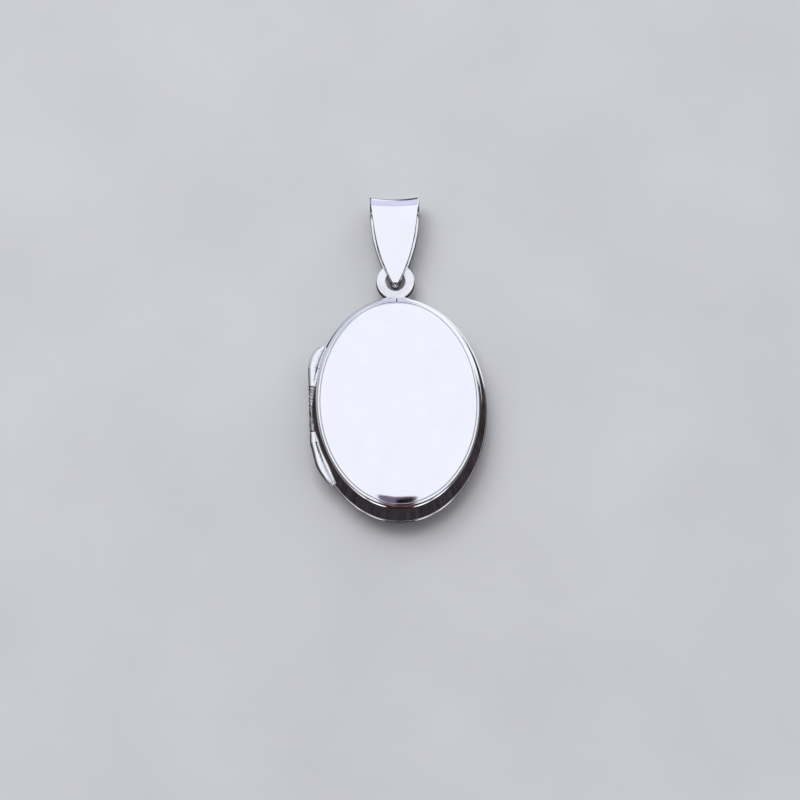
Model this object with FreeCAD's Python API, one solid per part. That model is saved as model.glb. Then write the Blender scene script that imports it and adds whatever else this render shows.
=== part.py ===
import FreeCAD, Part
import math
import os

from FreeCAD import Vector

# Plain oval locket lying on its back: +X right, +Y toward the bail, +Z out of the front cover.
# Origin: centre of the flat land of the back, on the surface the locket rests on. Millimetres.

# Case
RIM_A = 9.0            # half width of the back rim, the widest oval of the case
RIM_B = 12.0           # half height of the back rim
HALF_DEPTH = 2.8       # from the parting plane to the outside of either cover
PARTING_GAP = 0.05     # the line of air between the two shut halves
FRONT_STEP = 0.10      # the front half is this much smaller all round
WALL = 0.56            # side wall thickness at the rim
LIP_BEVEL = 0.10       # width and height of the bevel round the back rim
LIP_HEIGHT = 0.07
END_TAPER = 1.2        # insets are this much larger at the top and bottom of the oval than at its sides
SHOULDER_INSET = 0.55  # inset of the wall where it turns into the shoulder bead
SHOULDER_Z = 1.78
BEAD = [(0.59, 1.92), (0.665, 2.04), (0.77, 2.14), (0.88, 2.215), (1.00, 2.275)]
CAVITY_LEAN = 0.181    # the inside of the wall leans inward this much per millimetre of depth
CAVITY_TOP = 2.7
SEAM_X = 0.2           # butt seam of the band beside the pendant ring
SEAM_WIDTH = 0.07
SEAM_DEPTH = 0.04

# Cover plates
PLATE = 0.4
DOME_RADIUS = 110.0
EDGE_START = 6.7
EDGE_RADIUS = 3.2
BACK_LAND = 5.0        # half width of the flat on the back
LAND_SKIM = 0.004      # ground off the land to leave it truly flat
PLATE_SEAT_Z = 1.85
PLATE_BLANK = 8.15

# Inside of each half, measured from the parting plane
SEAT = (1.55, 1.85)
SEAT_INSET = 1.95
WINDOW = (1.30, 1.55)
WINDOW_INSET = 1.0
FRAME = (0.90, 1.30)
FRAME_OUTER = 0.98
FRAME_INNER = 1.75
CATCH_HEIGHT = 0.8
CATCH_GAP = 0.06
CATCH_INNER = 1.05

# Hinge on the left edge
HINGE_X = -8.62
KNUCKLE_R = 0.45
PIN_R = 0.2
PIN_PLAY = 0.025
HINGE_CLEAR = 0.06
UPPER_KNUCKLE = (2.55, 4.6)
MIDDLE_KNUCKLE = (-2.2, 2.5)
LOWER_KNUCKLE = (-3.4, -2.3)
PIN_ENDS = (-3.3, 4.5)
WING_RELIEF_R = 0.66   # relief in the front band so that it turns clear of the wings
WING_RELIEF_END = 5.6
WING_GAP = 0.12
# Each wing station: position along the hinge, centre across, half width, half depth
UPPER_WING = [(4.6, -8.58, 0.49, 0.45), (5.2, -8.455, 0.505, 0.44), (5.8, -8.255, 0.505, 0.42),
              (6.3, -7.99, 0.49, 0.37), (6.65, -7.78, 0.42, 0.28), (6.88, -7.60, 0.30, 0.12)]
LOWER_WING = [(-3.4, -8.60, 0.47, 0.45), (-4.0, -8.47, 0.46, 0.44), (-4.65, -8.34, 0.44, 0.42),
              (-5.7, -8.10, 0.44, 0.38), (-6.47, -7.80, 0.41, 0.33), (-7.1, -7.44, 0.36, 0.26),
              (-7.6, -7.12, 0.26, 0.16), (-7.85, -6.98, 0.17, 0.08)]

# Pendant ring
RING_X = 0.15
RING_Y = 13.93
RING_R = 2.0
RING_HOLE_R = 0.95
RING_Z = (-1.0, -0.2)
RING_EDGE = 0.12
FOOT_HALF_WIDTH = 1.6
FOOT_THICKNESS = 0.3

# Bail
ROLL_Y = 21.4
ROLL_Z = -0.8
ROLL_R = 2.0
BAIL_T = 0.45
BAIL_MID_Z = -0.6
TIP_Y = 13.15
BAIL_LEAN = -1.4       # the loose bail lies turned this many degrees in its plane
# Side profile of the outside of the loop: position, half depth
BAIL_SIDE = [(13.17, 0.34), (13.23, 0.63), (13.36, 0.80), (13.62, 0.92), (14.1, 1.02), (15.0, 1.19),
             (16.0, 1.35), (18.0, 1.63), (20.0, 1.87)]
# The same for the inside of the loop, from the root of the soldered tip
TIP_ROOT_Y = 13.72
BAIL_INSIDE = [(13.86, 0.28), (14.2, 0.54), (15.0, 0.76), (16.0, 0.92), (18.0, 1.19), (20.0, 1.43)]
# Half widths of the leaves from the tip to the roll
FRONT_LEAF = [(13.15, 0.12), (13.75, 0.50), (14.85, 0.93), (16.5, 1.55), (18.65, 2.06), (21.3, 2.42)]
BACK_LEAF = [(13.15, 0.12), (13.8, 0.49), (15.0, 0.90), (16.3, 1.48), (18.8, 2.18), (21.1, 2.52)]
ROLL_TOP = (23.6, 2.6)
BAIL_SCOOP = 0.22      # how far the rolled edge dips in the middle


def save(node, shape):
    """Move a piece from the parting plane to the resting frame and write it."""
    placed = shape.copy()
    placed.translate(Vector(0, 0, HALF_DEPTH))
    solids = placed.Solids
    if len(solids) != 1 or not solids[0].isValid():
        raise ValueError("%s: %d solids" % (node, len(solids)))
    solids[0].exportStep("parts/%s.step" % node)


def oval(inset, z):
    """Closed oval a given inset inside the back rim."""
    a = RIM_A - inset
    b = RIM_B - inset * END_TAPER
    return Part.Wire([Part.Ellipse(Vector(0, b, z), Vector(a, 0, z), Vector(0, 0, z)).toShape()])


def stack(levels, smooth=False):
    """Solid through a pile of ovals given as (inset, height)."""
    return Part.makeLoft([oval(inset, z) for inset, z in levels], True, not smooth)


def prism(inset, z0, z1):
    return stack([(inset, z0), (inset, z1)])


def flipped(shape):
    """The same piece for the back half."""
    return shape.mirror(Vector(0, 0, 0), Vector(0, 0, 1))


def hinge_bar(radius, ends):
    """Round bar on the hinge axis."""
    return Part.makeCylinder(radius, ends[1] - ends[0], Vector(HINGE_X, ends[0], 0), Vector(0, 1, 0))


def cavity(shrink=0.0, z0=0.0, z1=CAVITY_TOP):
    """Space inside a half, its wall leaning in with depth."""
    low = WALL + FRONT_STEP + shrink
    return stack([(low + CAVITY_LEAN * z0, z0), (low + CAVITY_LEAN * z1, z1)])


def half_outside(levels):
    """Full block of a half: wall and rounded shoulder bead."""
    wall = stack(levels + [(SHOULDER_INSET, SHOULDER_Z)])
    bead = stack([(SHOULDER_INSET, SHOULDER_Z)] + BEAD, smooth=True)
    return wall.fuse(bead)


def seam_groove(levels):
    """Fine line where the ends of the band strip meet."""
    slot = Part.makeBox(SEAM_WIDTH, RIM_B, CAVITY_TOP, Vector(SEAM_X, RIM_B / 2, 0))
    deeper = [(inset + SEAM_DEPTH, z) for inset, z in levels]
    wall = stack(deeper + [(SHOULDER_INSET + SEAM_DEPTH, SHOULDER_Z)])
    bead = [(SHOULDER_INSET, SHOULDER_Z)] + BEAD
    sunk = [(inset + SEAM_DEPTH * (inset < 0.8), z - SEAM_DEPTH) for inset, z in bead]
    return slot.cut(wall.fuse(stack(sunk, smooth=True)))


def band(levels, hinge_seats):
    """Side wall of a half with the hinge seats, given as (radius, ends), let into it."""
    shape = half_outside(levels).cut(cavity())
    shape = shape.cut(seam_groove(levels))
    for radius, ends in hinge_seats:
        shape = shape.cut(hinge_bar(radius, ends))
    return shape


def cover_plate(land):
    """Pillow shaped plate: flat land, shallow crown and a rounded edge, let into the band."""
    top = HALF_DEPTH
    if land > 0:
        top += LAND_SKIM
        span = EDGE_START - land
        radius = span * span / (2 * DOME_DROP)
    else:
        span = EDGE_START
        radius = DOME_RADIUS
    crown_end = top - (radius - math.sqrt(radius * radius - span * span))
    mid = land + span / 2
    crown_mid = top - (radius - math.sqrt(radius * radius - span * span / 4))
    start_angle = math.asin(span / radius)
    centre_r = EDGE_START - EDGE_RADIUS * math.sin(start_angle)
    centre_z = crown_end - EDGE_RADIUS * math.cos(start_angle)
    end_angle = math.asin((PLATE_BLANK - centre_r) / EDGE_RADIUS)
    mid_angle = (start_angle + end_angle) / 2

    def on_edge(angle):
        return Vector(centre_r + EDGE_RADIUS * math.sin(angle), 0, centre_z + EDGE_RADIUS * math.cos(angle))

    edges = []
    if land > 0:
        edges.append(Part.makeLine(Vector(0, 0, top), Vector(land, 0, top)))
    crown = Part.Arc(Vector(land, 0, top), Vector(mid, 0, crown_mid), Vector(EDGE_START, 0, crown_end))
    edges.append(crown.toShape())
    edges.append(Part.Arc(on_edge(start_angle), on_edge(mid_angle), on_edge(end_angle)).toShape())
    corners = [on_edge(end_angle), Vector(PLATE_BLANK, 0, PLATE_SEAT_Z), Vector(EDGE_START, 0, PLATE_SEAT_Z),
               Vector(EDGE_START - PLATE, 0, crown_end - PLATE), Vector(mid, 0, crown_mid - PLATE),
               Vector(land, 0, top - PLATE), Vector(0, 0, top - PLATE), Vector(0, 0, top)]
    corners = [c for i, c in enumerate(corners) if i == 0 or (c - corners[i - 1]).Length > 1e-6]
    edges += [Part.makeLine(p, q) for p, q in zip(corners, corners[1:])]
    blank = Part.Face(Part.Wire(Part.__sortEdges__(edges))).revolve(Vector(0, 0, 0), Vector(0, 0, 1), 360)
    matrix = FreeCAD.Matrix()
    matrix.scale(1.0, PLATE_STRETCH, 1.0)
    plate = blank.transformGeometry(matrix).common(cavity(z0=PLATE_SEAT_Z, z1=HALF_DEPTH + PLATE))
    if land > 0:
        corner = Vector(-2 * RIM_A, -2 * RIM_B, 0)
        plate = plate.common(Part.makeBox(4 * RIM_A, 4 * RIM_B, top - LAND_SKIM, corner))
    return plate


DOME_DROP = DOME_RADIUS - math.sqrt(DOME_RADIUS ** 2 - EDGE_START ** 2)
CREASE_INSET = WALL + FRONT_STEP + CAVITY_LEAN * BEAD[-1][1]
PLATE_STRETCH = (RIM_B - CREASE_INSET * END_TAPER) / (RIM_A - CREASE_INSET)


def seat_ring():
    """Ledge ring under the photo window."""
    return cavity(z0=SEAT[0], z1=SEAT[1]).cut(prism(SEAT_INSET, *SEAT))


def window():
    return prism(WINDOW_INSET, *WINDOW)


def photo_frame():
    """Half round oval wire that holds the window and a picture down."""
    low, high = FRAME
    width = FRAME_INNER - FRAME_OUTER
    steps = 6
    outer = [(FRAME_OUTER, high)]
    for k in range(steps + 1):
        angle = math.pi / 2 * k / steps
        outer.append((FRAME_OUTER + 0.5 * width * (1 - math.cos(angle)),
                      high - (high - low) * (0.35 + 0.65 * math.sin(angle))))
    inner = [(FRAME_INNER, high)]
    for inset, z in outer[1:]:
        inner.append((FRAME_INNER + FRAME_OUTER - inset, z))
    return stack(outer).cut(stack(inner))


def catch_rim():
    """Bezel standing up from the back half; the front half presses over it."""
    lower = flipped(cavity(z1=CATCH_HEIGHT))
    base = WALL + FRONT_STEP + CATCH_GAP
    top = base + CAVITY_LEAN * CATCH_HEIGHT
    upper = stack([(base, 0), (top - 0.03, CATCH_HEIGHT - 0.15), (top + 0.06, CATCH_HEIGHT)])
    ring = lower.fuse(upper).cut(prism(CATCH_INNER, -CATCH_HEIGHT, CATCH_HEIGHT))
    return ring.cut(hinge_bar(KNUCKLE_R + HINGE_CLEAR, (LOWER_KNUCKLE[0], UPPER_KNUCKLE[1])))


def knuckle(ends, bore):
    return hinge_bar(KNUCKLE_R, ends).cut(hinge_bar(bore, ends))


def blind_knuckle(ends, pin_ends):
    return hinge_bar(KNUCKLE_R, ends).cut(hinge_bar(PIN_R, pin_ends))


def wing(stations, back_block, front_block):
    """Tapered end of the hinge bar, soldered against the back half."""
    rings = []
    for y, x, half_width, half_depth in stations:
        wide = Vector(x - half_width, y, 0)
        deep = Vector(x, y, half_depth)
        rings.append(Part.Wire([Part.Ellipse(wide, deep, Vector(x, y, 0)).toShape()]))
    return Part.makeLoft(rings, True, False).cut(back_block).cut(front_block)


def pendant_ring(foot_block):
    """Flat ring with softened edges, standing on its foot."""
    height = RING_Z[1] - RING_Z[0]
    disc = Part.makeCylinder(RING_R, height, Vector(RING_X, RING_Y, RING_Z[0]))
    hole = Part.makeCylinder(RING_HOLE_R, height, Vector(RING_X, RING_Y, RING_Z[0]))
    ring = disc.cut(hole)
    rims = [e for e in ring.Edges if e.Curve.TypeId == "Part::GeomCircle"]
    return ring.makeFillet(RING_EDGE, rims).cut(foot_block)


def ring_foot(foot_block, back_block):
    """Small saddle between the pendant ring and the wall of the back half."""
    box = Part.makeBox(2 * FOOT_HALF_WIDTH, RIM_B, RING_Z[1] - RING_Z[0] - 0.1,
                       Vector(RING_X - FOOT_HALF_WIDTH, RIM_B / 2, RING_Z[0] + 0.05))
    return foot_block.common(box).cut(back_block)


def leaf_outline(stations, side):
    """Plan of one leaf, extruded to one side of the loop."""
    right = [Vector(w, y, 0) for y, w in stations]
    left = [Vector(-w, y, 0) for y, w in stations]
    roll_y, roll_w = ROLL_TOP
    spline_right = Part.BSplineCurve()
    spline_right.interpolate(right + [Vector(roll_w, roll_y, 0)])
    spline_left = Part.BSplineCurve()
    spline_left.interpolate(left + [Vector(-roll_w, roll_y, 0)])
    top = Part.Arc(Vector(-roll_w, roll_y, 0), Vector(0, roll_y - BAIL_SCOOP, 0), Vector(roll_w, roll_y, 0))
    edges = [spline_right.toShape(), spline_left.toShape(), top.toShape(), Part.makeLine(left[0], right[0])]
    face = Part.Face(Part.Wire(Part.__sortEdges__(edges)))
    return face.extrude(Vector(0, 0, 3 * ROLL_R * side))


def loop_profile(tip_y, side, radius):
    """Side view of the outside or the inside of the bail loop."""
    upper = []
    lower = []
    for y, half in side:
        mid = BAIL_MID_Z + (ROLL_Z - BAIL_MID_Z) * (y - TIP_Y) / (ROLL_Y - TIP_Y)
        upper.append(Vector(0, y, mid + half))
        lower.append(Vector(0, y, mid - half))
    roll = []
    for k in range(9):
        angle = math.pi / 2 - math.pi * k / 8
        roll.append(Vector(0, ROLL_Y + radius * math.cos(angle), ROLL_Z + radius * math.sin(angle)))
    apex = Vector(0, tip_y, BAIL_MID_Z)
    curve = Part.BSplineCurve()
    curve.interpolate([apex] + upper + roll + lower[::-1] + [apex])
    return Part.Face(Part.Wire([curve.toShape()]))


def bail():
    """Tapered strip folded round a roll, its two points closed together through the ring."""
    width = Vector(4 * ROLL_R, 0, 0)
    shift = Vector(-2 * ROLL_R, 0, 0)
    outside = loop_profile(TIP_Y, BAIL_SIDE, ROLL_R).extrude(width)
    inside = loop_profile(TIP_ROOT_Y, BAIL_INSIDE, ROLL_R - BAIL_T).extrude(width)
    outside.translate(shift)
    inside.translate(shift)
    loop = outside.cut(inside)
    front = leaf_outline(FRONT_LEAF, 1)
    back = leaf_outline(BACK_LEAF, -1)
    front.translate(Vector(0, 0, BAIL_MID_Z))
    back.translate(Vector(0, 0, BAIL_MID_Z))
    strip = loop.common(front).fuse(loop.common(back)).removeSplitter()
    strip.translate(Vector(RING_X, 0, 0))
    strip.rotate(Vector(RING_X, RING_Y, 0), Vector(0, 0, 1), BAIL_LEAN)
    return strip


def main():
    os.makedirs("parts", exist_ok=True)
    front_levels = [(FRONT_STEP, PARTING_GAP)]
    back_levels = [(LIP_BEVEL, 0.0), (0.0, LIP_HEIGHT)]
    clear_r = KNUCKLE_R + HINGE_CLEAR
    front_seats = [(KNUCKLE_R, MIDDLE_KNUCKLE),
                   (clear_r, (MIDDLE_KNUCKLE[1], UPPER_KNUCKLE[1])),
                   (clear_r, (LOWER_KNUCKLE[0], MIDDLE_KNUCKLE[0])),
                   (WING_RELIEF_R, (UPPER_KNUCKLE[1], WING_RELIEF_END)),
                   (WING_RELIEF_R, (-WING_RELIEF_END, LOWER_KNUCKLE[0]))]
    back_seats = [(KNUCKLE_R, UPPER_KNUCKLE),
                  (KNUCKLE_R, LOWER_KNUCKLE),
                  (clear_r, (LOWER_KNUCKLE[1], UPPER_KNUCKLE[0]))]

    save("front_band", band(front_levels, front_seats))
    save("back_band", flipped(band(back_levels, back_seats)))
    save("front_cover_plate", cover_plate(0.0))
    save("back_cover_plate", flipped(cover_plate(BACK_LAND)))
    inner_pieces = {"photo_seat": seat_ring(), "photo_window": window(), "photo_frame": photo_frame()}
    for name, piece in inner_pieces.items():
        save("front_" + name, piece)
        save("back_" + name, flipped(piece))
    save("catch_rim", catch_rim())

    save("middle_knuckle", knuckle(MIDDLE_KNUCKLE, PIN_R + PIN_PLAY))
    save("upper_knuckle", blind_knuckle(UPPER_KNUCKLE, (UPPER_KNUCKLE[0], PIN_ENDS[1])))
    save("lower_knuckle", blind_knuckle(LOWER_KNUCKLE, (PIN_ENDS[0], LOWER_KNUCKLE[1])))
    save("hinge_pin", hinge_bar(PIN_R, PIN_ENDS))
    back_block = flipped(half_outside(back_levels))
    front_block = stack([(FRONT_STEP - WING_GAP, 0.0), (SHOULDER_INSET - WING_GAP, SHOULDER_Z)])
    save("upper_wing", wing(UPPER_WING, back_block, front_block))
    save("lower_wing", wing(LOWER_WING, back_block, front_block))

    foot_block = prism(-FOOT_THICKNESS, RING_Z[0] - 1, RING_Z[1] + 1)
    save("ring_foot", ring_foot(foot_block, back_block))
    save("pendant_ring", pendant_ring(foot_block))
    save("bail", bail())


main()
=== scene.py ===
import math

import bmesh
import bpy
import numpy as np
from mathutils import Matrix, Vector, noise as field


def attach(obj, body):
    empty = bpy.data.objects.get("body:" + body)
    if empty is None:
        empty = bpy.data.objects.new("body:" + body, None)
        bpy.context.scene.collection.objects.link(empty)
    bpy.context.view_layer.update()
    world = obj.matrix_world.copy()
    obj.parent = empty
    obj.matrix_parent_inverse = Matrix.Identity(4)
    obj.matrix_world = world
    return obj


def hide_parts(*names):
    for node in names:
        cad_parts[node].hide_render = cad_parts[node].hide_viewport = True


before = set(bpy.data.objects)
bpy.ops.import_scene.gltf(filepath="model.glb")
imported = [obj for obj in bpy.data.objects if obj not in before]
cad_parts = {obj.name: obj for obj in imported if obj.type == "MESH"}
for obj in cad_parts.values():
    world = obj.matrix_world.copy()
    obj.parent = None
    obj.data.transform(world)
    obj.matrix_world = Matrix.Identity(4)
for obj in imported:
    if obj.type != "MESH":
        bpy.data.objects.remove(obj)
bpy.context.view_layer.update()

# ------------------------------------------------------------------ sizes, mm
MM = 0.001
RIM_A, RIM_B = 9.0, 12.0
HALF = 2.8
HINGE_X = -8.62
KNUCKLE_R = 0.45
PIN_R = 0.2
RING_X, RING_Y = 0.15, 13.93
WALL_INSET = 0.66
CAVITY_LEAN = 0.181
# Rounded shoulder as (inset, height) from the parting plane
BEAD = [(0.55, 1.78), (0.59, 1.92), (0.665, 2.04), (0.77, 2.14), (0.88, 2.21), (0.98, 2.255), (1.045, 2.28)]
SHOULDER_INSET, SHOULDER_Z = BEAD[0]
END_TAPER = 1.2
SEGS = 480

# Lengths along the hinge, from low to high Y
WING_END, LOWER_END = -5.6, -3.4
BACK_LOW, FRONT_LOW = -2.3, -2.2
FRONT_HIGH, BACK_HIGH, UPPER_END = 2.5, 2.55, 4.6
KNUCKLE_CLEAR = 0.51
WING_CLEAR = 0.66

# Butt joint at the top of each band: place, groove depth and spread, and the dark line painted in it as shade
SEAM_X = 0.2
SEAM_DEPTH, SEAM_SPREAD, SEAM_REACH = 0.12, 0.0090, 0.030
# Depths and half width of a thin dark sheet in the groove: painted shade
SEAM_SHADE_TOP, SEAM_SHADE_FOOT, SEAM_SHADE_HALF = 0.05, 0.19, 0.0085

# Picture window, its ledge and its frame
SEAT_Z, SEAT_TOP, SEAT_INSET = 1.55, 1.85, 1.95
FILM_FOOT = 1.30

# Pieces by the look they get
SHOWN = {"face": [], "silver": [], "cast": [], "solder": [], "seam": [], "bail": [], "inner": [], "pin": [],
         "film": []}

# ------------------------------------------------------------------ camera
CAMERA_AT = Vector((-0.00253, -0.07869, 0.24408))
RIGHT = Vector((0.99942, -0.03403, 0.0))
BACK = Vector((-0.0107, -0.3133, 0.9496)).normalized()


def make_camera():
    data = bpy.data.cameras.new("camera")
    data.sensor_width = 36.0
    data.lens = 112.32
    data.clip_start = 0.01
    data.clip_end = 50.0
    cam = bpy.data.objects.new("camera", data)
    bpy.context.scene.collection.objects.link(cam)
    up = BACK.cross(RIGHT).normalized()
    right = up.cross(BACK).normalized()
    rot = Matrix((right, up, BACK)).transposed()
    cam.matrix_world = Matrix.Translation(CAMERA_AT) @ rot.to_4x4()
    bpy.context.scene.camera = cam


# ------------------------------------------------------------------ curves
def catmull(points, per_span):
    """Smooth line through points, ends included."""
    p = np.array(points, float)
    p = np.vstack([2 * p[0] - p[1], p, 2 * p[-1] - p[-2]])
    out = []
    for i in range(1, len(p) - 2):
        t = np.linspace(0, 1, per_span, endpoint=False)[:, None]
        a, b, c, d = p[i - 1], p[i], p[i + 1], p[i + 2]
        out.append(0.5 * ((2 * b) + (c - a) * t + (2 * a - 5 * b + 4 * c - d) * t ** 2
                          + (3 * b - a - 3 * c + d) * t ** 3))
    out.append(p[-2][None, :])
    return np.vstack(out)


def smooth(t):
    """Eases from 0 to 1."""
    t = max(0.0, min(1.0, t))
    return t * t * (3 - 2 * t)


def rounded(points, radius, steps=4):
    """Closed outline with every corner softened by the same radius."""
    pts = [np.array(p, float) for p in points]
    n = len(pts)
    out = []
    for i in range(n):
        a, b, c = pts[i - 1], pts[i], pts[(i + 1) % n]
        u, v = a - b, c - b
        lu, lv = np.linalg.norm(u), np.linalg.norm(v)
        u, v = u / lu, v / lv
        turn = math.acos(max(-1, min(1, float(-u @ v))))
        if turn < 0.25:
            out.append(b)
            continue
        back = min(radius * math.tan(turn / 2), 0.45 * lu, 0.45 * lv)
        for k in range(steps + 1):
            t = k / steps
            out.append((1 - t) ** 2 * (b + u * back) + 2 * t * (1 - t) * b + t * t * (b + v * back))
    return np.array(out)


# ------------------------------------------------------------------ meshes
def build(name, verts, faces, body, replaces=(), sharp=38.0):
    """Object from points in millimetres above the resting plane."""
    mesh = bpy.data.meshes.new(name)
    mesh.from_pydata([tuple(float(c) * MM for c in v) for v in verts], [], faces)
    bm = bmesh.new()
    bm.from_mesh(mesh)
    bmesh.ops.remove_doubles(bm, verts=bm.verts, dist=1e-8)
    bmesh.ops.recalc_face_normals(bm, faces=bm.faces)
    bm.to_mesh(mesh)
    bm.free()
    obj = bpy.data.objects.new(name, mesh)
    bpy.context.scene.collection.objects.link(obj)
    finish_shading(obj, sharp)
    if body:
        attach(obj, body)
        if replaces:
            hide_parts(*replaces)
    return obj


def finish_shading(obj, sharp):
    bm = bmesh.new()
    bm.from_mesh(obj.data)
    limit = math.radians(sharp)
    for f in bm.faces:
        f.smooth = True
    for e in bm.edges:
        e.smooth = len(e.link_faces) == 2 and e.calc_face_angle(0.0) < limit
    bm.to_mesh(obj.data)
    bm.free()


def oval_sweep(profile, flip=False, phis=None, dent=None):
    """Closed ring: an outline of (inset, height) carried round the oval."""
    sign = -1 if flip else 1
    if phis is None:
        phis = np.linspace(0, 2 * math.pi, SEGS, endpoint=False)
    n, m = len(phis), len(profile)
    verts = []
    for phi in phis:
        c, s = math.cos(phi), math.sin(phi)
        for k, (inset, z) in enumerate(profile):
            if dent is not None:
                inset, z = dent(phi, k, inset, z)
            verts.append(((RIM_A - inset) * c, (RIM_B - inset * END_TAPER) * s, HALF + sign * z))
    faces = []
    for i in range(n):
        j = (i + 1) % n
        for k in range(m):
            l = (k + 1) % m
            faces.append((i * m + k, j * m + k, j * m + l, i * m + l))
    return verts, faces


def oval_disc(rim, outline, flip=False, rings=64, segs=SEGS):
    """Solid oval plate. outline(t) gives its top and bottom, with t 0 at the centre and 1 at the rim."""
    sign = -1 if flip else 1
    a, b = rim
    ts = np.concatenate([np.linspace(0, 0.85, rings // 2, endpoint=False),
                         np.linspace(0.85, 0.995, rings // 2 + 1)[:-1], np.linspace(0.995, 1, 5)])
    verts, faces = [], []
    for side in (0, 1):
        base = len(verts)
        verts.append((0, 0, HALF + sign * outline(0.0)[side]))
        for t in ts[1:]:
            z = outline(float(t))[side]
            for k in range(segs):
                phi = 2 * math.pi * k / segs
                verts.append((a * t * math.cos(phi), b * t * math.sin(phi), HALF + sign * z))
        for k in range(segs):
            faces.append((base, base + 1 + k, base + 1 + (k + 1) % segs))
        for r in range(len(ts) - 2):
            p, q = base + 1 + r * segs, base + 1 + (r + 1) * segs
            for k in range(segs):
                l = (k + 1) % segs
                faces.append((p + k, q + k, q + l, p + l))
    last = 1 + (len(ts) - 2) * segs
    half = len(verts) // 2
    for k in range(segs):
        l = (k + 1) % segs
        faces.append((last + k, last + l, half + last + l, half + last + k))
    return verts, faces


def lathe(profile, centre, axis, segs=96):
    """Ring turned from a closed outline of (radius, along) about an axis through centre."""
    verts, faces = [], []
    m = len(profile)
    for i in range(segs):
        t = 2 * math.pi * i / segs
        for r, h in profile:
            if axis == "Y":
                verts.append((centre[0] + r * math.cos(t), h, centre[2] + r * math.sin(t)))
            else:
                verts.append((centre[0] + r * math.cos(t), centre[1] + r * math.sin(t), h))
    for i in range(segs):
        j = (i + 1) % segs
        for k in range(m):
            l = (k + 1) % m
            faces.append((i * m + k, j * m + k, j * m + l, i * m + l))
    return verts, faces


def skin(loops):
    """Solid through loops of equal length, closed at both ends."""
    m = len(loops[0])
    verts = [v for loop in loops for v in loop]
    faces = []
    for i in range(len(loops) - 1):
        for k in range(m):
            l = (k + 1) % m
            faces.append((i * m + k, i * m + l, (i + 1) * m + l, (i + 1) * m + k))
    faces.append(tuple(range(m))[::-1])
    faces.append(tuple((len(loops) - 1) * m + k for k in range(m)))
    return verts, faces


def carve(obj, cutters, sharp=38.0):
    """Cut other shapes out of a piece and keep only the result."""
    for cutter in cutters:
        mod = obj.modifiers.new("carve", "BOOLEAN")
        mod.operation = "DIFFERENCE"
        mod.solver = "EXACT"
        mod.object = cutter
    dg = bpy.context.evaluated_depsgraph_get()
    mesh = bpy.data.meshes.new_from_object(obj.evaluated_get(dg))
    obj.modifiers.clear()
    old = obj.data
    obj.data = mesh
    bpy.data.meshes.remove(old)
    finish_shading(obj, sharp)
    for cutter in cutters:
        bpy.data.objects.remove(cutter)


def roughen(verts, amount, scale, share):
    """Push points about the hinge axis in and out with an even grain, as cold solder does."""
    out = []
    for x, y, z in verts:
        dx, dz = x - HINGE_X, z - HALF
        radius = math.hypot(dx, dz)
        if radius > PIN_R + 0.1:
            spot = Vector((x, y, z)) * scale
            grain = field.noise(spot) + 0.5 * field.noise(spot * 2.3)
            push = 1 + amount * share(x, y) * min(0.9, grain) / radius
            dx, dz = dx * push, dz * push
        out.append((HINGE_X + dx, y, HALF + dz))
    return out


def bar_cutter(steps):
    """One stepped bar about the hinge axis: (radius, lower y, upper y) of each length, from low to high."""
    profile = [(1e-4, steps[0][1])]
    for radius, y0, y1 in steps:
        profile += [(radius, y0), (radius, y1)]
    profile.append((1e-4, steps[-1][2]))
    verts, faces = lathe(profile, (HINGE_X, 0, HALF), "Y", 64)
    return build("cutter", verts, faces, None)


def case_block(levels):
    """Oval block through (inset, height), used to cut the space of the shut case out of a piece."""
    loops = []
    for inset, z in levels:
        loops.append([((RIM_A - inset) * math.cos(2 * math.pi * k / 360),
                       (RIM_B - inset * END_TAPER) * math.sin(2 * math.pi * k / 360), HALF + z)
                      for k in range(360)])
    verts, faces = skin(loops)
    return build("cutter", verts, faces, None)


# ------------------------------------------------------------------ case
def band_profile(front):
    bead = catmull(BEAD, 5)
    if front:
        outer = [(0.115, 0.05), (0.10, 0.07)]
        low = 0.05
    else:
        outer = [(0.10, 0.0), (0.09, 0.005), (0.008, 0.062), (0.0, 0.075)]
        low = 0.0
    start, end = np.array(outer[-1]), np.array(BEAD[0])
    wall = [tuple(start + (end - start) * t) for t in (0.1, 0.3, 0.5, 0.7, 0.9)]
    inside = []
    for z in (2.22, 1.8, 1.3, 0.7, 0.2, low + 0.03):
        inside.append((WALL_INSET + CAVITY_LEAN * z, z))
    inside.append((WALL_INSET + 0.03, low))
    return outer + wall + [tuple(p) for p in bead] + inside


INSIDE_POINTS = 7  # the last points of a band's profile, which lie on its inside


def bead_share(inset):
    """0 on the wall, 1 on top of the shoulder: how far a groove sinks down instead of in."""
    return max(0.0, min(1.0, (inset - SHOULDER_INSET) / 0.3))


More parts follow.
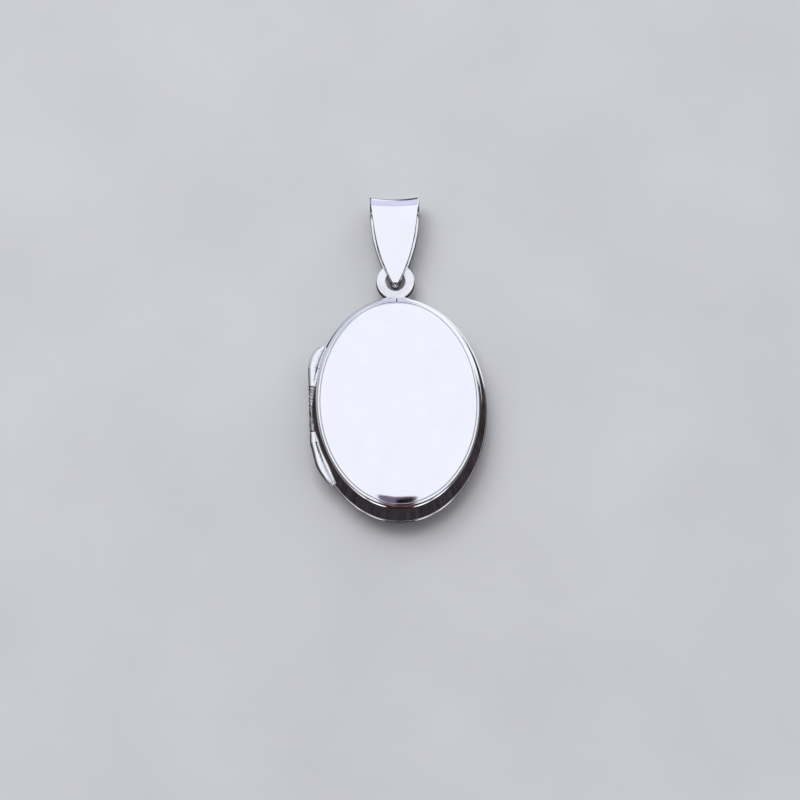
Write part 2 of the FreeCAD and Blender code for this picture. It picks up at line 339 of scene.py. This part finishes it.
def make_bands():
    uniform = list(np.linspace(0, 2 * math.pi, SEGS, endpoint=False))
    seam = math.acos(SEAM_X / RIM_A)
    fine = [seam + d for d in np.linspace(-SEAM_REACH, SEAM_REACH, 37)]
    phis = np.array(sorted([p for p in uniform if abs(p - seam) > SEAM_REACH + 0.001] + fine))
    for name, front in (("front_band", True), ("back_band", False)):
        profile = band_profile(front)
        outer_count = len(profile) - INSIDE_POINTS

        def dent(phi, k, inset, z):
            if k >= outer_count:
                return inset, z
            depth = SEAM_DEPTH * math.exp(-((phi - seam) / SEAM_SPREAD) ** 2)
            top = bead_share(inset)
            return inset + depth * (1 - top), z - depth * top

        verts, faces = oval_sweep(profile, flip=not front, phis=phis, dent=dent)
        body = "front" if front else "back"
        obj = build(name + "_polished", verts, faces, body, [name])
        if front:
            steps = [(WING_CLEAR, WING_END, LOWER_END), (KNUCKLE_CLEAR, LOWER_END, FRONT_LOW),
                     (KNUCKLE_R, FRONT_LOW, FRONT_HIGH), (KNUCKLE_CLEAR, FRONT_HIGH, UPPER_END),
                     (WING_CLEAR, UPPER_END, -WING_END)]
        else:
            steps = [(KNUCKLE_R, LOWER_END, BACK_LOW), (KNUCKLE_CLEAR, BACK_LOW, BACK_HIGH),
                     (KNUCKLE_R, BACK_HIGH, UPPER_END)]
        carve(obj, [bar_cutter(steps)])
        SHOWN["silver"].append(obj)
        # A thin dark sheet laid just inside the seam groove: painted shade that darkens the groove
        loops = []
        for inset, z in [q for q in profile[:outer_count] if q[1] > 0.1]:
            top = bead_share(inset)
            loop = []
            for side, depth in ((-1, SEAM_SHADE_TOP), (1, SEAM_SHADE_TOP), (1, SEAM_SHADE_FOOT), (-1, SEAM_SHADE_FOOT)):
                phi = seam + side * SEAM_SHADE_HALF
                a, h = inset + depth * (1 - top), z - depth * top
                loop.append(((RIM_A - a) * math.cos(phi), (RIM_B - a * END_TAPER) * math.sin(phi),
                             HALF + (h if front else -h)))
            loops.append(loop)
        verts, faces = skin(loops)
        SHOWN["seam"].append(build(name + "_seam", verts, faces, body))


DOME_R = 110.0
EDGE_START = 6.7
EDGE_R = 3.2
CREASE = WALL_INSET + CAVITY_LEAN * 2.275  # inset where a cover plate meets its band


def cover_outline(land):
    """Heights of a cover plate from its centre (0) to its rim (1)."""
    a = RIM_A - CREASE
    drop = DOME_R - math.sqrt(DOME_R ** 2 - EDGE_START ** 2)
    span = EDGE_START - land
    radius = DOME_R if land == 0 else span * span / (2 * drop)
    end_z = HALF - (radius - math.sqrt(radius ** 2 - span ** 2))
    start = math.asin(span / radius)
    cr = EDGE_START - EDGE_R * math.sin(start)
    cz = end_z - EDGE_R * math.cos(start)

    def at(t):
        r = t * a
        if r <= land:
            top = HALF
        elif r <= EDGE_START:
            top = HALF - (radius - math.sqrt(radius ** 2 - (r - land) ** 2))
        else:
            top = cz + math.sqrt(max(0.0, EDGE_R ** 2 - (r - cr) ** 2))
            top -= 0.04 * max(0.0, (r - a + 0.04) / 0.04) ** 1.5
        under = top - 0.4 if r < EDGE_START - 0.4 else 1.85
        return top, under
    return at


def make_covers():
    rim = (RIM_A - CREASE, RIM_B - CREASE * END_TAPER)
    for name, land, flip, body in (("front_cover_plate", 0.0, False, "front"),
                                   ("back_cover_plate", 5.0, True, "back")):
        verts, faces = oval_disc(rim, cover_outline(land), flip)
        obj = build(name + "_polished", verts, faces, body, [name], sharp=50)
        SHOWN["face"].append(obj)


def make_insides():
    for half, flip in (("front", False), ("back", True)):
        seat = rounded([(WALL_INSET + CAVITY_LEAN * SEAT_Z, SEAT_Z),
                        (WALL_INSET + CAVITY_LEAN * SEAT_TOP, SEAT_TOP),
                        (SEAT_INSET, SEAT_TOP), (SEAT_INSET, SEAT_Z)], 0.05)
        verts, faces = oval_sweep(seat, flip)
        SHOWN["inner"].append(build(half + "_seat_ledge", verts, faces, half,
                                    [half + "_photo_seat"]))

        def film(t):
            edge = 0.04 * max(0.0, (t - 0.994) / 0.006) ** 2
            return SEAT_Z - edge, FILM_FOOT + edge
        verts, faces = oval_disc((RIM_A - 1.0, RIM_B - 1.0 * END_TAPER), film, flip, rings=24, segs=240)
        SHOWN["film"].append(build(half + "_window_film", verts, faces, half,
                                   [half + "_photo_window"]))

        wire = [(0.98, FILM_FOOT)]
        for k in range(13):
            t = math.pi * k / 12
            wire.append((1.365 - 0.385 * math.cos(t), 1.16 - 0.26 * math.sin(t)))
        wire.append((1.75, FILM_FOOT))
        verts, faces = oval_sweep(rounded(wire, 0.03), flip)
        SHOWN["inner"].append(build(half + "_frame_wire", verts, faces, half,
                                    [half + "_photo_frame"]))

    rim = [(1.05, -0.8), (WALL_INSET + CAVITY_LEAN * 0.8, -0.8), (WALL_INSET, -0.005), (0.72, 0.0),
           (0.835, 0.65), (0.925, 0.8), (1.05, 0.8)]
    verts, faces = oval_sweep(rounded(rim, 0.03))
    obj = build("catch_bezel", verts, faces, "back", ["catch_rim"])
    carve(obj, [bar_cutter([(KNUCKLE_CLEAR, LOWER_END, UPPER_END)])])
    SHOWN["inner"].append(obj)


# ------------------------------------------------------------------ hinge
UPPER_WING = [(4.6, -8.58, 0.49, 0.45), (5.2, -8.455, 0.505, 0.44), (5.8, -8.255, 0.505, 0.42),
              (6.3, -7.99, 0.49, 0.37), (6.65, -7.78, 0.42, 0.28), (6.88, -7.60, 0.30, 0.12)]
LOWER_WING = [(-3.4, -8.60, 0.47, 0.45), (-4.0, -8.47, 0.46, 0.44), (-4.65, -8.34, 0.44, 0.42),
              (-5.7, -8.10, 0.44, 0.38), (-6.47, -7.80, 0.41, 0.33), (-7.1, -7.44, 0.36, 0.26),
              (-7.6, -7.12, 0.26, 0.16), (-7.85, -6.98, 0.17, 0.08)]


def solder_edge(verts):
    """Grain along the side of the wing that is soldered to the wall."""
    out = []
    for x, y, z in verts:
        wall = (RIM_A - 0.1) * math.sqrt(max(0.0, 1 - (y / (RIM_B - 0.12)) ** 2))
        near = smooth(1 - (-wall - x) / 0.42) * smooth((6.7 - y) / 0.3)
        spot = Vector((x, y, z)) * 6.0
        grain = field.noise(spot) + 0.5 * field.noise(spot * 2.1)
        out.append((x, y, z + (0.09 * near * min(0.5, grain) if z > HALF else 0.0)))
    return out


def make_hinge():
    knuckles = (("upper_knuckle", BACK_HIGH, UPPER_END, PIN_R, "back", (0.05, 0.0)),
                ("middle_knuckle", FRONT_LOW, FRONT_HIGH, 0.225, "front", (0.05, 0.05)),
                ("lower_knuckle", BACK_LOW, LOWER_END, PIN_R, "back", (0.05, 0.0)))
    for name, free, joined, bore, body, soft in knuckles:
        lean = 1 if joined > free else -1
        outline = [(bore, free), (KNUCKLE_R - soft[0], free),
                   (KNUCKLE_R - 0.3 * soft[0], free + lean * 0.3 * soft[0]),
                   (KNUCKLE_R, free + lean * soft[0])]
        outline += [(KNUCKLE_R, y) for y in np.linspace(free + lean * 0.1, joined - lean * 0.1, 60)]
        outline += [(KNUCKLE_R, joined - lean * soft[1]),
                   (KNUCKLE_R - soft[1], joined), (bore, joined)]
        outline = [q for n, q in enumerate(outline) if n == 0 or q != outline[n - 1]]
        verts, faces = lathe(outline, (HINGE_X, 0, HALF), "Y", 96)
        if name == "middle_knuckle":
            verts = roughen(verts, 0.045, 5.5, lambda x, y: smooth((2.45 - abs(y - 0.1)) / 0.3))
        elif name == "upper_knuckle":
            verts = roughen(verts, 0.05, 5.0,
                            lambda x, y: smooth((x - HINGE_X + 0.12) / 0.2) * smooth((y - BACK_HIGH) / 0.3))
        obj = build(name + "_tube", verts, faces, body, [name])
        # The middle knuckle takes the darker solder silver: partly the solder's own tone, partly a painted
        # dark reflection
        SHOWN["solder" if name == "middle_knuckle" else "silver"].append(obj)
    outline = rounded([(1e-3, -3.3), (PIN_R, -3.3), (PIN_R, 4.5), (1e-3, 4.5)], 0.05)
    verts, faces = lathe(outline, (HINGE_X, 0, HALF), "Y", 48)
    SHOWN["pin"].append(build("hinge_wire", verts, faces, "back", ["hinge_pin"]))
    for name, stations in (("upper_wing", UPPER_WING), ("lower_wing", LOWER_WING)):
        line = catmull(stations, 20)
        turns = np.linspace(0, 2 * math.pi, 128, endpoint=False)
        end = line[-1]
        step = (line[-1] - line[-2])[0]
        loops = []
        for y, x, w, d in line:
            loops.append([(x + w * math.cos(t), y, HALF + d * math.sin(t)) for t in turns])
        for k in (0.5, 0.8, 0.95):
            s = math.sqrt(1 - k * k)
            loops.append([(end[1] + end[2] * s * math.cos(t), end[0] + k * 0.12 * (1 if step > 0 else -1),
                           HALF + end[3] * s * math.sin(t)) for t in turns])
        verts, faces = skin(loops)
        if name == "upper_wing":
            verts = solder_edge(verts)
        obj = build(name + "_polished", verts, faces, "back", [name])
        carve(obj, [case_block([(SHOULDER_INSET, -SHOULDER_Z), (0.0, 0.0), (-0.02, 0.004),
                                (0.43, SHOULDER_Z)])])
        SHOWN["silver"].append(obj)


# ------------------------------------------------------------------ ring and bail
def make_ring():
    outline = rounded([(0.95, HALF - 1.0), (2.0, HALF - 1.0), (2.0, HALF - 0.2), (0.95, HALF - 0.2)], 0.2, 6)
    verts, faces = lathe(outline, (RING_X, RING_Y, 0), "Z", 160)
    SHOWN["cast"].append(build("pendant_ring_polished", verts, faces, "back",
                               ["pendant_ring"]))
    loops = []
    for off in np.linspace(-1.62, 1.62, 49):
        x = RING_X + off
        taper = (1 - min(1.0, abs(off) / 1.63) ** 6) ** 0.5
        inner = (RIM_B - 0.12) * math.sqrt(1 - (x / (RIM_A - 0.12)) ** 2)
        outer = (RIM_B + 0.3 * taper) * math.sqrt(1 - (x / (RIM_A + 0.3 * taper)) ** 2)
        loop = []
        for k in range(24):
            t = 2 * math.pi * k / 24
            cy = abs(math.cos(t)) ** 0.6 * (1 if math.cos(t) > 0 else -1)
            cz = abs(math.sin(t)) ** 0.6 * (1 if math.sin(t) > 0 else -1)
            loop.append((x, (inner + outer) / 2 + cy * (outer - inner) / 2,
                         HALF + MID_Z + cz * 0.35 * (0.4 + 0.6 * taper)))
        loops.append(loop)
    verts, faces = skin(loops)
    SHOWN["cast"].append(build("ring_saddle", verts, faces, "back", ["ring_foot"]))


ROLL_Y, ROLL_Z, ROLL_R = 21.4, -0.8, 2.0
BAIL_T = 0.45
MID_Z = -0.6
TIP_Y = 13.15
BAIL_LEAN = math.radians(-1.4)
# Side of the bail as (y, half height); its two leaves as (y, half width)
BAIL_SIDE = [(13.17, 0.34), (13.23, 0.63), (13.36, 0.80), (13.62, 0.92), (14.1, 1.02), (15.0, 1.19),
             (16.0, 1.35), (18.0, 1.63), (20.0, 1.87)]
FRONT_LEAF = [(13.15, 0.04), (13.35, 0.13), (13.75, 0.42), (14.85, 0.93), (16.5, 1.55), (18.65, 2.06),
              (21.3, 2.42), (23.6, 2.6)]
BACK_LEAF = [(13.15, 0.04), (13.35, 0.13), (13.8, 0.43), (15.0, 0.90), (16.3, 1.48), (18.8, 2.18),
             (21.1, 2.52), (23.6, 2.6)]
SADDLE = 0.24


def make_bail():
    upper, lower = [], []
    for y, half in BAIL_SIDE:
        mid = MID_Z + (ROLL_Z - MID_Z) * (y - TIP_Y) / (ROLL_Y - TIP_Y)
        upper.append((y, mid + half))
        lower.append((y, mid - half))
    roll = [(ROLL_Y + ROLL_R * math.cos(a), ROLL_Z + ROLL_R * math.sin(a))
            for a in np.linspace(math.pi / 2, -math.pi / 2, 9)]
    path = catmull([(TIP_Y, MID_Z)] + upper + roll + lower[::-1] + [(TIP_Y, MID_Z)], 12)
    front = catmull(FRONT_LEAF, 20)
    back = catmull(BACK_LEAF, 20)
    tangent = np.gradient(path, axis=0)
    tangent /= np.linalg.norm(tangent, axis=1)[:, None]
    inward = np.c_[tangent[:, 1], -tangent[:, 0]]
    count = len(path)
    loops = []
    for i, (y, z) in enumerate(path):
        if 0 < i < count - 1:
            mid = MID_Z + (ROLL_Z - MID_Z) * (y - TIP_Y) / (ROLL_Y - TIP_Y)
            blend = min(1.0, max(0.0, 0.5 + (i / (count - 1) - 0.5) * 8))
            wide = (1 - blend) * np.interp(y, front[:, 0], front[:, 1])
            wide += blend * np.interp(y, back[:, 0], back[:, 1])
            depth = abs(z - mid)
            nz = abs(inward[i][1])
            thick = BAIL_T if y > ROLL_Y else min(0.43, 0.98 * depth / max(nz, 0.3))
        else:
            wide, thick = 0.04, 0.01
        outline = rounded([(-wide, 0), (wide, 0), (wide, thick), (-wide, thick)], min(0.13, 0.4 * thick), 4)
        grid = refine_outline(outline, 12)
        loop = []
        for x, t in grid:
            dip = SADDLE * (1 - (x / wide) ** 2) * smooth((y - 20.6) / 2.6)
            py = y + inward[i][0] * t - dip
            pz = z + inward[i][1] * t
            dy = py - RING_Y
            loop.append((RING_X + x * math.cos(BAIL_LEAN) - dy * math.sin(BAIL_LEAN),
                         RING_Y + x * math.sin(BAIL_LEAN) + dy * math.cos(BAIL_LEAN), HALF + pz))
        loops.append(loop)
    verts, faces = skin(loops)
    obj = build("bail_polished", verts, faces, "bail", ["bail"], sharp=45)
    SHOWN["bail"].append(obj)


def refine_outline(outline, steps):
    """Adds points along the two broad sides so the strip can curve across its width."""
    out = []
    corner = len(outline) // 4
    for i in range(len(outline)):
        a, b = outline[i], outline[(i + 1) % len(outline)]
        out.append(a)
        if i in (corner - 1, 3 * corner - 1):
            out += [a + (b - a) * k / steps for k in range(1, steps)]
    return out


# ------------------------------------------------------------------ materials
def node(tree, kind, **values):
    n = tree.nodes.new(kind)
    for key, value in values.items():
        setattr(n, key, value)
    return n


def noise(tree, coords, scale, detail, rough=0.5, distortion=0.0):
    n = node(tree, "ShaderNodeTexNoise")
    n.inputs["Scale"].default_value = scale
    n.inputs["Detail"].default_value = detail
    n.inputs["Roughness"].default_value = rough
    n.inputs["Distortion"].default_value = distortion
    tree.links.new(coords, n.inputs["Vector"])
    return n.outputs["Fac"]


def stretched(tree, coords, angle, scale):
    m = node(tree, "ShaderNodeMapping")
    m.inputs["Rotation"].default_value = angle
    m.inputs["Scale"].default_value = scale
    tree.links.new(coords, m.inputs["Vector"])
    return m.outputs["Vector"]


def ramp(tree, value, stops):
    r = node(tree, "ShaderNodeValToRGB")
    elements = r.color_ramp.elements
    while len(elements) < len(stops):
        elements.new(0.5)
    for e, (pos, colour) in zip(elements, stops):
        e.position = pos
        e.color = (*colour, 1.0) if len(colour) == 3 else colour
    tree.links.new(value, r.inputs["Fac"])
    return r.outputs["Color"]


def bump(tree, height, distance, strength=1.0, normal=None):
    b = node(tree, "ShaderNodeBump")
    b.inputs["Strength"].default_value = strength
    b.inputs["Distance"].default_value = distance
    tree.links.new(height, b.inputs["Height"])
    if normal is not None:
        tree.links.new(normal, b.inputs["Normal"])
    return b.outputs["Normal"]


def silver(name, light, dark, rough, wave, scratch, wave_size):
    """Silver with slow polishing waves, fine scratches, wear and a tone that varies at random."""
    mat = bpy.data.materials.new(name)
    mat.use_nodes = True
    t = mat.node_tree
    bsdf = t.nodes["Principled BSDF"]
    bsdf.inputs["Metallic"].default_value = 1.0
    coords = node(t, "ShaderNodeTexCoord").outputs["Object"]
    cloud = noise(t, coords, 420.0, 4.0, 0.6)
    tone = ramp(t, cloud, [(0.35, dark), (0.62, light)])
    t.links.new(tone, bsdf.inputs["Base Color"])
    smear = noise(t, coords, 900.0, 6.0, 0.65, 0.6)
    lines = noise(t, stretched(t, coords, (0.2, 0.1, 0.7), (9000.0, 500.0, 9000.0)), 1.0, 3.0, 0.7)
    cross = noise(t, stretched(t, coords, (0.1, 0.3, -0.5), (700.0, 11000.0, 11000.0)), 1.0, 3.0, 0.7)
    both = node(t, "ShaderNodeMath", operation="MULTIPLY")
    t.links.new(lines, both.inputs[0])
    t.links.new(cross, both.inputs[1])
    spread = node(t, "ShaderNodeMapRange")
    spread.inputs["From Min"].default_value = 0.3
    spread.inputs["From Max"].default_value = 0.7
    spread.inputs["To Min"].default_value = rough[0]
    spread.inputs["To Max"].default_value = rough[1]
    t.links.new(smear, spread.inputs["Value"])
    t.links.new(spread.outputs["Result"], bsdf.inputs["Roughness"])
    slow = noise(t, coords, 1000.0 / wave_size, 1.0, 0.4)
    normal = bump(t, slow, wave)
    normal = bump(t, both.outputs[0], scratch, 1.0, normal)
    t.links.new(normal, bsdf.inputs["Normal"])
    return mat


def film_material():
    mat = bpy.data.materials.new("clear_film")
    mat.use_nodes = True
    t = mat.node_tree
    bsdf = t.nodes["Principled BSDF"]
    bsdf.inputs["Transmission Weight"].default_value = 1.0
    bsdf.inputs["IOR"].default_value = 1.49
    coords = node(t, "ShaderNodeTexCoord").outputs["Object"]
    haze = noise(t, coords, 600.0, 5.0, 0.6)
    tint = ramp(t, haze, [(0.3, (0.93, 0.955, 0.96)), (0.7, (0.98, 0.99, 0.99))])
    t.links.new(tint, bsdf.inputs["Base Color"])
    spread = node(t, "ShaderNodeMapRange")
    spread.inputs["To Min"].default_value = 0.02
    spread.inputs["To Max"].default_value = 0.09
    t.links.new(haze, spread.inputs["Value"])
    t.links.new(spread.outputs["Result"], bsdf.inputs["Roughness"])
    lines = noise(t, stretched(t, coords, (0.0, 0.0, 0.5), (6000.0, 300.0, 6000.0)), 1.0, 2.0)
    t.links.new(bump(t, lines, 1e-6), bsdf.inputs["Normal"])
    return mat


# Each silver: light and dark tone, roughness range, wave and scratch depth in metres, size of the waves in mm
SILVERS = {
    "face": ("silver_face", (0.95, 0.955, 0.97), (0.93, 0.935, 0.95), (0.05, 0.11), 2.5e-6, 4e-7, 5.0),
    "silver": ("silver_case", (0.94, 0.94, 0.95), (0.90, 0.90, 0.91), (0.04, 0.12), 2e-6, 6e-7, 2.0),
    "bail": ("silver_bail", (0.95, 0.95, 0.965), (0.92, 0.92, 0.935), (0.06, 0.14), 3e-6, 6e-7, 2.5),
    "cast": ("silver_cast", (0.95, 0.94, 0.95), (0.80, 0.79, 0.80), (0.10, 0.26), 7e-6, 1e-6, 0.7),
    # Solder silver for the middle knuckle: its dark tone is partly the solder's own and partly a painted dark
    # reflection
    "solder": ("silver_solder_and_shade", (0.88, 0.86, 0.86), (0.40, 0.37, 0.36), (0.10, 0.32), 3.0e-5, 1e-6, 0.40),
    # Dark silver for the sheet in the seam groove: painted shade
    "seam": ("silver_painted_seam_shade", (0.16, 0.15, 0.17), (0.05, 0.045, 0.05), (0.30, 0.50), 4e-6, 2e-6, 0.5),
    "inner": ("silver_inner", (0.90, 0.90, 0.905), (0.78, 0.78, 0.785), (0.14, 0.30), 3e-6, 2e-6, 1.5),
    "pin": ("silver_wire", (0.84, 0.84, 0.85), (0.70, 0.70, 0.71), (0.16, 0.32), 1e-6, 3e-6, 1.0),
}


def paint():
    looks = {group: silver(*look) for group, look in SILVERS.items()}
    looks["film"] = film_material()
    for group, objects in SHOWN.items():
        for obj in objects:
            obj.data.materials.clear()
            obj.data.materials.append(looks[group])
    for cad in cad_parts.values():
        cad.data.materials.clear()
        cad.data.materials.append(looks["silver"])


# ------------------------------------------------------------------ studio
def make_floor():
    mesh = bpy.data.meshes.new("floor")
    s = 1.2
    mesh.from_pydata([(-s, -s, 0), (s, -s, 0), (s, s, 0), (-s, s, 0)], [], [(0, 1, 2, 3)])
    floor = bpy.data.objects.new("floor", mesh)
    bpy.context.scene.collection.objects.link(floor)
    mat = bpy.data.materials.new("floor_paint")
    mat.use_nodes = True
    t = mat.node_tree
    bsdf = t.nodes["Principled BSDF"]
    coords = node(t, "ShaderNodeTexCoord").outputs["Object"]
    tone = ramp(t, noise(t, coords, 60.0, 5.0), [(0.3, (0.49, 0.49, 0.495)), (0.7, (0.53, 0.53, 0.535))])
    t.links.new(tone, bsdf.inputs["Base Color"])
    bsdf.inputs["Roughness"].default_value = 0.85
    mesh.materials.append(mat)
    floor.visible_glossy = False


def mix_in(tree, below, colour, share):
    m = node(tree, "ShaderNodeMix", data_type="RGBA")
    tree.links.new(share, m.inputs["Factor"])
    tree.links.new(below, m.inputs[6])
    m.inputs[7].default_value = (*colour, 1.0)
    return m.outputs[2]


def soft_patch(tree, direction, centre, inner, outer):
    """1 within the inner angle of a direction, easing to 0 at the outer angle."""
    dot = node(tree, "ShaderNodeVectorMath", operation="DOT_PRODUCT")
    tree.links.new(direction, dot.inputs[0])
    dot.inputs[1].default_value = Vector(centre).normalized()
    ease = node(tree, "ShaderNodeMapRange", interpolation_type="SMOOTHSTEP")
    ease.inputs["From Min"].default_value = math.cos(math.radians(outer))
    ease.inputs["From Max"].default_value = math.cos(math.radians(inner))
    tree.links.new(dot.outputs["Value"], ease.inputs["Value"])
    return ease.outputs["Result"]


def toward(azimuth, elevation):
    a, e = math.radians(azimuth), math.radians(elevation)
    return (math.cos(a) * math.cos(e), math.sin(a) * math.cos(e), math.sin(e))


# Each light or dark panel of the studio: azimuth and elevation, inner and outer angle, colour
PANELS = [
    (90, 66, 50, 59, (0.92, 0.94, 1.03)),
    (90, 4, 27, 31, (0.42, 0.43, 0.55)),
    (90, 3, 24, 27, (0.70, 0.70, 0.93)),
    (53, 2, 27, 30, (1.02, 1.03, 1.10)),
    (56, -30, 27, 30, (0.95, 0.96, 1.03)),
    (128, 0, 28, 38, (0.60, 0.63, 0.74)),
    (161, 12, 10, 20, (0.40, 0.39, 0.41)),
    (-90, 38, 25, 32, (0.030, 0.020, 0.021)),
    (-92, 61, 9, 13, (0.20, 0.085, 0.085)),
    (-88, 72, 8, 10, (0.060, 0.038, 0.052)),
    (-106, 71, 8, 10, (0.16, 0.13, 0.19)),
    (-84, 71.5, 4.5, 5.5, (0.008, 0.006, 0.010)),
    (-95, 66.5, 2.0, 2.8, (0.010, 0.006, 0.010)),
    (-82, 66.5, 2.0, 2.8, (0.010, 0.006, 0.010)),
    (-92, 51, 3.5, 5, (0.006, 0.005, 0.006)),
]
PANELS += [(azimuth, 31, 8.5, 10, (1.2, 1.22, 1.3)) for azimuth in (-64, -42, -142, -120)]
# Long narrow lights: the plane they lie in, half width, middle, inner and outer angle, colour
STRIPS = [
    ((0.352, -0.30, -0.887), 2.4, (-8, 20), 26, 34, (0.62, 0.55, 0.47)),
    ((-0.352, -0.30, -0.887), 5.0, (188, 20), 26, 36, (0.42, 0.41, 0.43)),
]


def make_world():
    world = bpy.data.worlds.new("studio")
    bpy.context.scene.world = world
    world.use_nodes = True
    t = world.node_tree
    t.nodes.clear()
    out = node(t, "ShaderNodeOutputWorld")
    bg = node(t, "ShaderNodeBackground")
    t.links.new(bg.outputs[0], out.inputs["Surface"])
    direction = node(t, "ShaderNodeTexCoord").outputs["Generated"]
    colour = ramp(t, noise(t, direction, 26.0, 4.0, 0.7),
                  [(0.36, (0.014, 0.011, 0.012)), (0.66, (0.062, 0.052, 0.058))])
    for azimuth, elevation, inner, outer, tint in PANELS:
        share = soft_patch(t, direction, toward(azimuth, elevation), inner, outer)
        colour = mix_in(t, colour, tint, share)
    for plane, width, middle, inner, outer, tint in STRIPS:
        off = node(t, "ShaderNodeVectorMath", operation="DOT_PRODUCT")
        t.links.new(direction, off.inputs[0])
        off.inputs[1].default_value = Vector(plane).normalized()
        side = node(t, "ShaderNodeMath", operation="ABSOLUTE")
        t.links.new(off.outputs["Value"], side.inputs[0])
        within = node(t, "ShaderNodeMapRange", interpolation_type="SMOOTHSTEP")
        within.inputs["From Min"].default_value = math.sin(math.radians(1.5 * width))
        within.inputs["From Max"].default_value = math.sin(math.radians(0.5 * width))
        t.links.new(side.outputs[0], within.inputs["Value"])
        both = node(t, "ShaderNodeMath", operation="MULTIPLY")
        t.links.new(within.outputs["Result"], both.inputs[0])
        t.links.new(soft_patch(t, direction, toward(*middle), inner, outer), both.inputs[1])
        colour = mix_in(t, colour, tint, both.outputs[0])
    backdrop = node(t, "ShaderNodeMix", data_type="RGBA")
    t.links.new(node(t, "ShaderNodeLightPath").outputs["Is Camera Ray"], backdrop.inputs["Factor"])
    t.links.new(colour, backdrop.inputs[6])
    backdrop.inputs[7].default_value = (0.60, 0.605, 0.62, 1.0)
    t.links.new(backdrop.outputs[2], bg.inputs["Color"])


def soft_light(name, at, to, size, power, colour):
    data = bpy.data.lights.new(name, "AREA")
    data.shape = "RECTANGLE"
    data.size, data.size_y = size
    data.energy = power
    data.color = colour
    obj = bpy.data.objects.new(name, data)
    bpy.context.scene.collection.objects.link(obj)
    at, to = Vector(at), Vector(to)
    obj.matrix_world = Matrix.Translation(at) @ (to - at).to_track_quat("-Z", "Y").to_matrix().to_4x4()
    obj.visible_glossy = False


make_camera()
make_bands()
make_covers()
make_insides()
make_hinge()
make_ring()
make_bail()
paint()
make_floor()
make_world()
soft_light("softbox", (-0.10, 0.16, 0.50), (0, 0.01, 0), (0.36, 0.36), 1.9, (0.98, 0.985, 1.0))
bpy.context.scene.view_settings.view_transform = "Standard"
